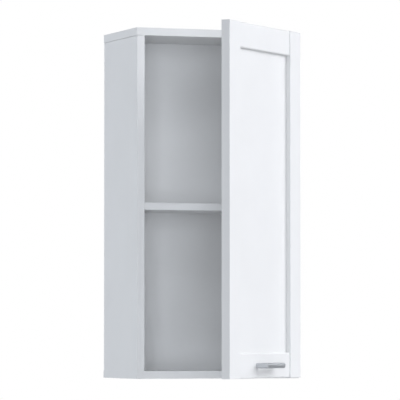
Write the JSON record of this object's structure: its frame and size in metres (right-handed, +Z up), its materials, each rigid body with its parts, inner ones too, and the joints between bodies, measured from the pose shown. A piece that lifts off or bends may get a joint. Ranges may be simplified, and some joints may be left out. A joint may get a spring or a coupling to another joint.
{
  "type": "hanging wall cabinet",
  "caption": "Tall narrow white wall cabinet with a shelf, a recessed-panel door on cup hinges and a bow handle, shown half open.",
  "frame": {"origin": "midway between the two keyhole entries, in the wall plane", "axes": "+X to the cabinet's right as seen from the front, +Y into the wall, +Z up"},
  "size_m": [0.357, 0.4692, 0.72],
  "materials": {
    "white_board": "matt white melamine facing on particle board",
    "white_band": "matt edge band",
    "white_foil": "matt white foil on fibreboard",
    "white_back": "matt white lacquered hardboard",
    "satin_nickel": "satin nickel",
    "hinge_steel": "bright nickel plated",
    "zinc": "zinc plated",
    "beech": "raw beech",
    "white_plastic": "moulded",
    "clear_plastic": "soft clear bumper"
  },
  "bodies": {
    "carcass": {"top_panel": "white_board", "bottom_panel": "white_board", "left_side_panel": "white_board", "right_side_panel": "white_board", "shelf": "white_board", "hanging_rail": "white_board", "top_edge_band": "white_band", "bottom_edge_band": "white_band", "left_edge_band": "white_band", "right_edge_band": "white_band", "shelf_edge_band": "white_band", "back_panel": "white_back", "shelf_pins": "zinc", "hanger_plate_left": "zinc", "hanger_plate_right": "zinc", "hanger_screws": "zinc", "cam_bolts": "zinc", "cam_locks": "zinc", "cam_covers": "white_plastic", "wood_dowels": "beech", "hinge_plate_screws": "hinge_steel", "hinge_arm_screws": "hinge_steel", "hinge_arm_pins": "hinge_steel", "hinge_plate_upper": "hinge_steel", "hinge_arm_upper": "hinge_steel", "hinge_plate_lower": "hinge_steel", "hinge_arm_lower": "hinge_steel"},
    "outer_links": {"outer_link_upper": "hinge_steel", "outer_link_lower": "hinge_steel"},
    "inner_links": {"inner_link_upper": "hinge_steel", "inner_link_lower": "hinge_steel"},
    "door": {"door_stile_left": "white_foil", "door_stile_right": "white_foil", "door_rail_top": "white_foil", "door_rail_bottom": "white_foil", "door_panel": "white_foil", "door_frame_dowels": "beech", "handle": "satin_nickel", "handle_screws": "zinc", "door_bumpers": "clear_plastic", "hinge_cup_screws": "hinge_steel", "hinge_cup_pins": "hinge_steel", "hinge_cup_upper": "hinge_steel", "hinge_cup_lower": "hinge_steel"}
  },
  "joints": [
    {"name": "outer_link_pivot", "type": "hinge", "parent": "carcass", "child": "outer_links", "pos_m": [0.1365, -0.188, 0], "axis": [0, 0, 1], "range_deg": [-14.51, 11.59]},
    {"name": "inner_link_pivot", "type": "hinge", "parent": "carcass", "child": "inner_links", "pos_m": [0.124, -0.204, 0], "axis": [0, 0, 1], "range_deg": [-14.51, 11.59]},
    {"name": "door_pivot", "type": "hinge", "parent": "outer_links", "child": "door", "pos_m": [0.15951, -0.22026, 0], "axis": [0, 0, 1], "range_deg": [-55.94, 70.06]}
  ],
  "couplings": [
    {"joint": "outer_link_pivot", "follows": "door_pivot", "ratio": -0.20635},
    {"joint": "inner_link_pivot", "follows": "door_pivot", "ratio": -0.20635}
  ]
}
